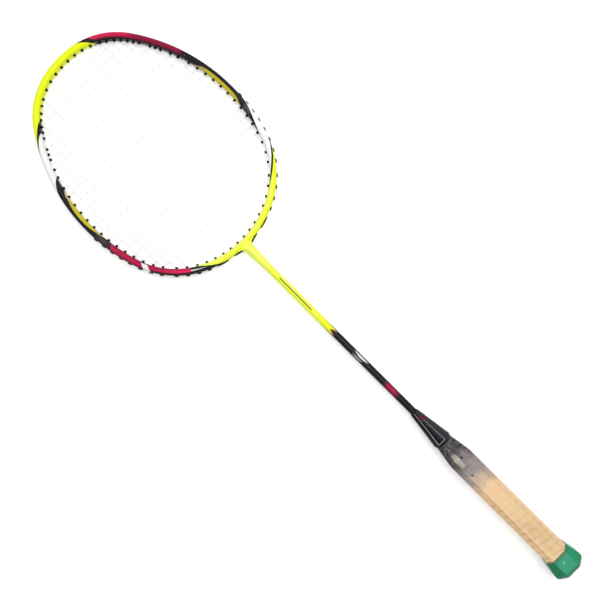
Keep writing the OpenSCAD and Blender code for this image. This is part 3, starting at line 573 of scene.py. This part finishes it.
def readHandle(tree):
    # where a point lies on the handle, in millimetres, and the noises of its wood
    here = addNode(tree, "ShaderNodeTexCoord").outputs
    point = here["Object"]
    across, along, depth = (calc(tree, "MULTIPLY", value, 1 / mm) for value in split(tree, point))
    return {
        "point": point, "across": across, "along": along, "depth": depth,
        "edge": calc(tree, "ABSOLUTE", across), "facing": split(tree, here["Normal"])[0],
        **{name: noise(tree, point, *wood[name])
           for name in ("rings", "fibres", "patches", "blotches", "speckle")},
    }


def woodTone(tree, at):
    rings = calc(tree, "MULTIPLY", at["rings"], 1 - wood["fibreShare"])
    grain = calc(tree, "MULTIPLY_ADD", at["fibres"], wood["fibreShare"], rings)
    colour = mixColour(tree, remap(tree, grain, *wood["grainLevel"]), wood["pale"], wood["dark"])
    for noiseName, levelName, tone in (("blotches", "roseLevel", "rose"),
                                       ("blotches", "mossLevel", "moss"),
                                       ("patches", "stainLevel", "stain")):
        mask = remap(tree, at[noiseName], *wood[levelName])
        colour = mixColour(tree, mask, colour, wood[tone])
    return colour


def tapeMark(tree, at):
    # a mark at each turn of the tape
    wander = calc(tree, "MULTIPLY", calc(tree, "SUBTRACT", at["blotches"], 0.5), wood["tapeWander"])
    turns = calc(tree, "MULTIPLY_ADD", at["along"], 1 / wood["tapePitch"], wander)
    turns = calc(tree, "ADD", turns, calc(tree, "MULTIPLY", at["across"], wood["tapeSlant"]))
    mark = near(tree, calc(tree, "FRACT", turns), 0.5, wood["tapeWidth"])
    mark = calc(tree, "MULTIPLY", mark, remap(tree, at["patches"], *wood["tapeDepth"]))
    # painted shade: the marks are darker on the facets that face -X
    mark = calc(tree, "MULTIPLY", mark, remap(tree, at["facing"], *wood["tapeShadeSide"]))
    return calc(tree, "MULTIPLY", mark, remap(tree, at["along"], *wood["tapeFade"]))


def handlingMarks(tree, at, colour):
    colour = mixColour(tree, tapeMark(tree, at), colour, wood["stain"])
    # the long edges between the facets carry a painted highlight, with dirt beside them
    colour = mixColour(tree, near(tree, at["edge"], *wood["dirtLine"]), colour, wood["stain"])
    colour = mixColour(tree, near(tree, at["edge"], *wood["edgeHighlightLine"]), colour, wood["cream"])
    rosy = calc(tree, "MULTIPLY", near(tree, at["along"], *wood["rosyAlong"]),
                remap(tree, at["blotches"], *wood["rosyLevel"]))
    rosy = calc(tree, "MULTIPLY", rosy, remap(tree, at["across"], *wood["rosySide"]))
    colour = mixColour(tree, rosy, colour, wood["rose"])
    # a dark line of painted shadow along the cap's rim, and a rubbed line beside it
    fromRim = calc(tree, "SUBTRACT", at["along"], capRim(tree, at["across"]))
    colour = mixColour(tree, remap(tree, fromRim, *wood["creamLine"]), colour, wood["cream"])
    return mixColour(tree, remap(tree, fromRim, *wood["rimShadowLine"]), colour, wood["rimShadowTone"])


def wornSpray(tree, at, spray, colour):
    # black spray that thins out down the handle and is worn off in a patch
    faded = remap(tree, spray, *wood["sprayGrey"])
    colour = mixColour(tree, faded, colour, wood["grey"])
    specks = calc(tree, "MULTIPLY", remap(tree, at["speckle"], *wood["speckLevel"]),
                  remap(tree, spray, *wood["speckFrom"]))
    colour = mixColour(tree, specks, colour, wood["speck"])
    worn = calc(tree, "MULTIPLY", near(tree, at["along"], *wood["wornAlong"]),
                near(tree, at["across"], *wood["wornAcross"]))
    worn = calc(tree, "MULTIPLY", calc(tree, "MINIMUM", worn, 1),
                remap(tree, at["speckle"], *wood["wornLevel"]))
    black = calc(tree, "MULTIPLY", remap(tree, spray, *wood["sprayBlack"]),
                 calc(tree, "SUBTRACT", 1, worn))
    colour = mixColour(tree, black, colour, wood["soot"])
    return mixColour(tree, worn, colour, wood["bared"])


def scratches(tree, at):
    # scratches along the taper and one across it
    hairs = noise(tree, at["point"], *wood["hairs"])
    scratch = calc(tree, "MULTIPLY", remap(tree, hairs, *wood["scratchLevel"]),
                   near(tree, at["along"], *wood["scratchAlong"]))
    tick = calc(tree, "MULTIPLY", near(tree, at["along"], *wood["tickAlong"]),
                near(tree, at["across"], *wood["tickAcross"]))
    return calc(tree, "MAXIMUM", calc(tree, "MINIMUM", scratch, wood["scratchMost"]), tick)


def stainedRing(tree, at, name, reach):
    low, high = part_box(name)
    middle = ((low.x + high.x) / 2, (low.y + high.y) / 2, 0)
    offset = vectorCalc(tree, "SUBTRACT", at["point"], middle)
    away = vectorCalc(tree, "LENGTH", vectorCalc(tree, "MULTIPLY", offset, (1, 1, 0)))
    return remap(tree, away, reach * mm, wood["roundFull"] * reach * mm, 0, wood["roundTone"])


def buildHandleWood():
    material, tree, shader = newMaterial("handleWood", {"Specular IOR Level": 0.3})
    at = readHandle(tree)
    drift = remap(tree, noise(tree, at["point"], *wood["cloud"]), *wood["sprayDrift"])
    spray = calc(tree, "ADD", at["along"], drift)
    onEdge = remap(tree, at["edge"], *wood["sprayEdge"])
    spray = calc(tree, "ADD", spray, calc(tree, "MULTIPLY", onEdge, wood["sprayEdgeLift"]))
    colour = handlingMarks(tree, at, woodTone(tree, at))
    colour = wornSpray(tree, at, spray, colour)
    colour = mixColour(tree, scratches(tree, at), colour, wood["scratch"])
    for name, (reach, tone) in wood["rounds"].items():
        colour = mixColour(tree, stainedRing(tree, at, name, reach), colour, tone)
    # the seam between the two halves
    seam = remap(tree, calc(tree, "ABSOLUTE", at["depth"]), *wood["seamHalf"])
    seam = calc(tree, "MULTIPLY", seam, wood["seamTone"])
    plug(tree, mixColour(tree, seam, colour, wood["stain"]), shader["Base Color"])
    plug(tree, remap(tree, spray, *wood["sprayGloss"]), shader["Roughness"])
    height = calc(tree, "MULTIPLY_ADD", at["fibres"], wood["fibreHeight"],
                  calc(tree, "MULTIPLY", at["rings"], wood["ringHeight"]))
    addBump(tree, height, *wood["bump"], shader["Normal"])
    dress(material, "handle_front", "handle_back")


buildHandleWood()
print("handle grained")

cap = {
    "green": (0.012, 0.33, 0.140), "dark": (0.002, 0.13, 0.05), "dusty": (0.07, 0.30, 0.22),
    "worn": (0.50, 0.85, 0.68), "edge": (0.62, 0.66, 0.42), "grain": 1, "rough": 0.34,
    # levels of the slope at which a facet is dusty or dark with painted shade, and the share of
    # that tone
    "dustyFlat": (0.90, 0.98, 0, 0.45), "shadedSlope": (0.88, 0.60, 0, 0.42),
    "shadedSide": (-0.3, -0.7, 0, 0.6), "shadedEnd": (-0.05, -0.4, 0, 0.85),
    # distances in millimetres from the butt and below the rim, where shade and shadow are painted,
    # and from the rubbed spot
    "shadedButt": (7.2, 4.8, 0, 0.6), "rimShadowBand": (1.6, 0.6, 0, 0.85), "spot": (1.2, 0.4, 0, 0.8),
    "spotAt": (-0.9, 16.9), "spotSize": (1.4, 0.8, 10 / 3), "rimFace": (0.6, 0.8), "rimFrom": 15,
    "bump": (0.15, 0.1),
}


def capShade(tree, point, normal, shade):
    # dusty on the flat facets; painted shade on the sloping facets, the -X side, the end faces and
    # at the butt, and a painted shadow along the rim
    across, along = (calc(tree, "MULTIPLY", value, 1 / mm) for value in split(tree, point)[:2])
    facing = split(tree, normal)
    flatness = calc(tree, "ABSOLUTE", facing[2])
    belowRim = calc(tree, "SUBTRACT", capRim(tree, across), along)
    for value, levelName, tone in (
            (flatness, "dustyFlat", "dusty"), (flatness, "shadedSlope", "dark"),
            (facing[0], "shadedSide", "dark"), (facing[1], "shadedEnd", "dark"),
            (along, "shadedButt", "dark"), (belowRim, "rimShadowBand", "dark")):
        shade = mixColour(tree, remap(tree, value, *cap[levelName]), shade, cap[tone])
    # a small rubbed spot on the front
    place = (cap["spotAt"][0] * mm, cap["spotAt"][1] * mm, capHigh.z)
    offset = vectorCalc(tree, "SUBTRACT", point, place)
    offset = vectorCalc(tree, "MULTIPLY", offset, [1 / size / mm for size in cap["spotSize"]])
    away = vectorCalc(tree, "LENGTH", offset)
    shade = mixColour(tree, remap(tree, away, *cap["spot"]), shade, cap["worn"])
    # the rim's end face is rubbed pale
    endFace = calc(tree, "MULTIPLY", remap(tree, facing[1], *cap["rimFace"]),
                   calc(tree, "GREATER_THAN", along, cap["rimFrom"]))
    return mixColour(tree, endFace, shade, cap["edge"])


def buildCapPlastic():
    material, tree, shader = newMaterial("capPlastic", {
        "Specular IOR Level": 0.15, "Coat Weight": 0.05, "Coat Roughness": 0.12})
    here = addNode(tree, "ShaderNodeTexCoord").outputs
    plastic = useGroup(tree, mouldedPlastic, {
        "Vector": here["Object"], "Grain": cap["grain"], "Rough": cap["rough"]})
    shade = mixColour(tree, plastic["Shade"], cap["dark"], cap["green"])
    shade = capShade(tree, here["Object"], here["Normal"], shade)
    plug(tree, shade, shader["Base Color"])
    plug(tree, plastic["Roughness"], shader["Roughness"])
    addBump(tree, plastic["Height"], *cap["bump"], shader["Normal"])
    dress(material, "butt_cap")


buildCapPlastic()
print("butt cap coloured")

small = {
    "string": (0.86, 0.86, 0.85), "twist": (3000, 2), "twistRough": (0.3, 0.7, 0.3, 0.45),
    "dirty": (0.6, 0.58, 0.52), "dirt": (40, 2), "dirtLevel": (0.5, 0.8, 0, 0.25),
    "stringBump": (0.15, 0.05),
    # name, how metallic, colour, roughness and the node it is for
    "metals": (("pinSteel", 0.3, (0.012, 0.010, 0.010), 0.5, "shaft_pin"),
               ("nailSteel", 0.3, (0.13, 0.08, 0.05), 0.6, "handle_nail"),
               ("coreMetal", 0.9, (0.55, 0.56, 0.58), 0.3, "throat_core")),
    "rusty": (0.10, 0.045, 0.02), "rust": (900, 4, 0.6), "rustLevel": (0.5, 0.7, 0, 0.4),
    "rustFrom": (0.4, 0.7), "rustRough": 0.3, "metalBump": (0.2, 0.05),
}


def buildStrings():
    material, tree, shader = newMaterial("stringNylon", {
        "Coat Weight": 0.2, "Coat Roughness": 0.2})
    point = objectPoint(tree)
    twist = noise(tree, point, *small["twist"])
    dirt = remap(tree, noise(tree, point, *small["dirt"]), *small["dirtLevel"])
    plug(tree, mixColour(tree, dirt, small["string"], small["dirty"]), shader["Base Color"])
    plug(tree, remap(tree, twist, *small["twistRough"]), shader["Roughness"])
    addBump(tree, twist, *small["stringBump"], shader["Normal"])
    dress(material, "main_string", "cross_string", "string_knots")


def buildMetals():
    for name, metallic, colour, rough, member in small["metals"]:
        material, tree, shader = newMaterial(name, {"Metallic": metallic})
        spots = noise(tree, objectPoint(tree), *small["rust"])
        rusted = mixColour(tree, remap(tree, spots, *small["rustLevel"]), colour, small["rusty"])
        plug(tree, rusted, shader["Base Color"])
        rougher = remap(tree, spots, *small["rustFrom"], rough, rough + small["rustRough"])
        plug(tree, rougher, shader["Roughness"])
        addBump(tree, spots, *small["metalBump"], shader["Normal"])
        dress(material, member)


buildStrings()
buildMetals()
print("strings, pins and core dressed")

grommet = {
    "nylon": (0.004, 0.004, 0.005), "clouded": (0.012, 0.012, 0.013), "grain": 1, "rough": 0.45,
    "bump": (0.15, 0.05),
    # the flat ring at the end of a barrel: how near its corners are joined, its area in square
    # millimetres, how alike its faces lie, how straight it faces the middle, and how far it may
    # be off the string bed
    "weld": 0.0001, "ringArea": (2.70, 2.80), "sameFace": 0.99999, "facing": 0.3, "offBed": 0.1,
    # a rounded collar on each barrel, round the string: radius and height in millimetres
    "segments": 24, "collar": [(1.27, -0.1), (1.26, 0.6), (1.20, 0.9), (1.09, 1.05), (1.0, 1.0),
                               (0.95, 0.75), (0.93, -0.1)],
    # a rounded cheek on each side of the string, on the heads this far below the widest line:
    # across and outwards, and the share of the height at places along the head
    "cheeksBelow": 4, "cheekDepth": 7.2,
    "cheek": [(0.62, -0.2), (0.62, 1.0), (0.85, 1.15), (1.7, 1.05), (2.0, 0.7), (2.0, -0.2)],
    "cheekEnds": [(-1.9, 0.0), (-1.7, 0.75), (-1.2, 1.0), (1.2, 1.0), (1.7, 0.75), (1.9, 0.0)],
}


def grommetNodes():
    return [name for name in sorted(nodes) if name.startswith(("grommets", "throat_strip"))]


def flatPatch(start, left):
    # the faces that lie in one plane with the first one and touch each other
    left.remove(start)
    patch, queue = [], [start]
    while queue:
        face = queue.pop()
        patch.append(face)
        for beside in (other for edge in face.edges for other in edge.link_faces):
            if beside in left and beside.normal.dot(start.normal) > grommet["sameFace"]:
                left.remove(beside)
                queue.append(beside)
    return patch


def findMouths(mesh):
    # the flat ring at the end of each barrel, as its centre and the way it faces
    grid = bmesh.new()
    grid.from_mesh(mesh)
    bmesh.ops.remove_doubles(grid, verts=grid.verts, dist=grommet["weld"] * mm)
    middle = Vector((0, widestY, 0))
    left = set(grid.faces)
    smallest, largest = grommet["ringArea"]
    found = []
    for face in list(grid.faces):
        if face not in left:
            continue
        patch = flatPatch(face, left)
        area = sum(one.calc_area() for one in patch) / mm ** 2
        # each corner once, in a fixed order, so that the sum rounds the same way each run
        corners = dict.fromkeys(corner for one in patch for corner in one.verts)
        centre = sum((corner.co for corner in corners), Vector()) / len(corners)
        straight = face.normal.dot((middle - centre).normalized())
        if smallest < area < largest and abs(centre.z) < grommet["offBed"] * mm \
                and straight > grommet["facing"]:
            found.append((centre, face.normal.copy()))
    grid.free()
    return found


def bridge(grid, low, high, smooth=False):
    # a band of faces between two rings of as many corners
    for step in range(len(low)):
        after = (step + 1) % len(low)
        face = grid.faces.new((low[step], low[after], high[after], high[step]))
        face.smooth = smooth


def addCollar(grid, centre, way):
    turned = way.to_track_quat("Z", "Y").to_matrix()
    turns = [2 * math.pi * step / grommet["segments"] for step in range(grommet["segments"])]
    rings = []
    for radius, rise in grommet["collar"]:
        spots = [Vector((radius * math.cos(turn), radius * math.sin(turn), rise)) for turn in turns]
        rings.append([grid.verts.new(centre + turned @ spot * mm) for spot in spots])
    for low, high in zip(rings, rings[1:] + rings[:1]):
        bridge(grid, low, high, smooth=True)


def addCheeks(grid, centre, way):
    base = centre - way * grommet["cheekDepth"] * mm
    along = way.cross(Vector((0, 0, 1)))
    for side in (-1, 1):
        rings = []
        for place, full in grommet["cheekEnds"]:
            spots = [along * place - way * (rise if rise < 0 else rise * full)
                     + Vector((0, 0, side * across)) for across, rise in grommet["cheek"]]
            rings.append([grid.verts.new(base + spot * mm) for spot in spots])
        for low, high in zip(rings, rings[1:]):
            bridge(grid, low, high)
        grid.faces.new(rings[0])
        grid.faces.new(rings[-1])


def buildMouths():
    # the collars and cheeks stand prouder than the barrels and heads that they sit on
    mesh = bpy.data.meshes.new("grommetMouths")
    grid = bmesh.new()
    mouths = {name: findMouths(nodes[name].data) for name in grommetNodes()}
    for places in mouths.values():
        for centre, way in places:
            addCollar(grid, centre, way)
    lowest = widestY - grommet["cheeksBelow"] * mm
    for name, places in mouths.items():
        if name.startswith(("grommets_side", "grommets_lower")):
            for centre, way in places:
                if centre.y < lowest:
                    addCheeks(grid, centre, way)
    bmesh.ops.recalc_face_normals(grid, faces=grid.faces)
    grid.to_mesh(mesh)
    grid.free()
    piece = bpy.data.objects.new("grommetMouths", mesh)
    bpy.context.scene.collection.objects.link(piece)
    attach(piece, "root")
    return mesh, sum(len(places) for places in mouths.values())


def buildGrommetNylon(mouthMesh):
    material, tree, shader = newMaterial("grommetNylon", {"Specular IOR Level": 0.12})
    plastic = useGroup(tree, mouldedPlastic, {
        "Vector": objectPoint(tree), "Grain": grommet["grain"], "Rough": grommet["rough"]})
    colour = mixColour(tree, plastic["Shade"], grommet["clouded"], grommet["nylon"])
    plug(tree, colour, shader["Base Color"])
    plug(tree, plastic["Roughness"], shader["Roughness"])
    addBump(tree, plastic["Height"], *grommet["bump"], shader["Normal"])
    dress(material, *grommetNodes())
    mouthMesh.materials.append(material)


mouthMesh, mouthCount = buildMouths()
buildGrommetNylon(mouthMesh)
print("grommet mouths:", mouthCount)

studio = {
    "floorSize": 8, "floorSquares": 8, "floorColour": (0.88, 0.88, 0.88),
    "floorFleck": (0.9, 0.9, 0.9), "flecks": (300, 2), "floorGlow": 0.35, "sky": 0.38,
    "boxPower": 10.6, "boxSize": 0.9, "boxAt": (0.25, 0.4, 1.1), "boxAim": (0, 0.34, 0),
    "buttIn": 4, "tipIn": 3,  # where the racket rests: millimetres in from the cap's edge and tip
}


def shownRays(tree):
    # camera, glossy and transmission rays, which see the pale background
    path = addNode(tree, "ShaderNodeLightPath").outputs
    seen = calc(tree, "MAXIMUM", path["Is Camera Ray"], path["Is Glossy Ray"])
    return calc(tree, "MAXIMUM", seen, path["Is Transmission Ray"])


def buildFloor():
    # the plane that the cap's edge and the hoop's tip rest on
    butt = Vector((0, (capLow.y + capHigh.y) / 2 - studio["buttIn"] * mm, capLow.z))
    tip = Vector((0, hoopHigh.y - studio["tipIn"] * mm, hoopLow.z))
    lean = math.atan2(tip.z - butt.z, tip.y - butt.y)
    mesh = bpy.data.meshes.new("floor")
    grid = bmesh.new()
    bmesh.ops.create_grid(grid, x_segments=studio["floorSquares"],
                          y_segments=studio["floorSquares"], size=studio["floorSize"] / 2)
    grid.to_mesh(mesh)
    grid.free()
    floor = bpy.data.objects.new("floor", mesh)
    bpy.context.scene.collection.objects.link(floor)
    floor.matrix_world = Matrix.Translation((butt + tip) / 2) @ Matrix.Rotation(lean, 4, "X")
    material, tree, shader = newMaterial("floorPaper", {
        "Specular IOR Level": 0.0, "Roughness": 1.0, "Emission Color": (1, 1, 1)})
    flecks = noise(tree, objectPoint(tree), *studio["flecks"])
    colour = mixColour(tree, flecks, studio["floorColour"], studio["floorFleck"])
    plug(tree, colour, shader["Base Color"])
    glow = calc(tree, "MULTIPLY", shownRays(tree), studio["floorGlow"])
    plug(tree, glow, shader["Emission Strength"])
    mesh.materials.append(material)


def buildLight():
    world = bpy.data.worlds.new("studio")
    bpy.context.scene.world = world
    world.use_nodes = True
    tree = world.node_tree
    sky = tree.nodes["Background"]
    sky.inputs["Color"].default_value = (1, 1, 1, 1)
    strength = calc(tree, "MULTIPLY_ADD", shownRays(tree), 1 - studio["sky"], studio["sky"])
    plug(tree, strength, sky.inputs["Strength"])
    data = bpy.data.lights.new("softBox", "AREA")
    data.shape = "RECTANGLE"
    data.size = data.size_y = studio["boxSize"]
    data.energy = studio["boxPower"]
    box = bpy.data.objects.new("softBox", data)
    bpy.context.scene.collection.objects.link(box)
    box.location = studio["boxAt"]
    aim = Vector(studio["boxAim"]) - box.location
    box.rotation_euler = aim.to_track_quat("-Z", "Y").to_euler()


buildFloor()
buildLight()
bpy.context.scene.view_settings.view_transform = "Standard"
print("studio lit")
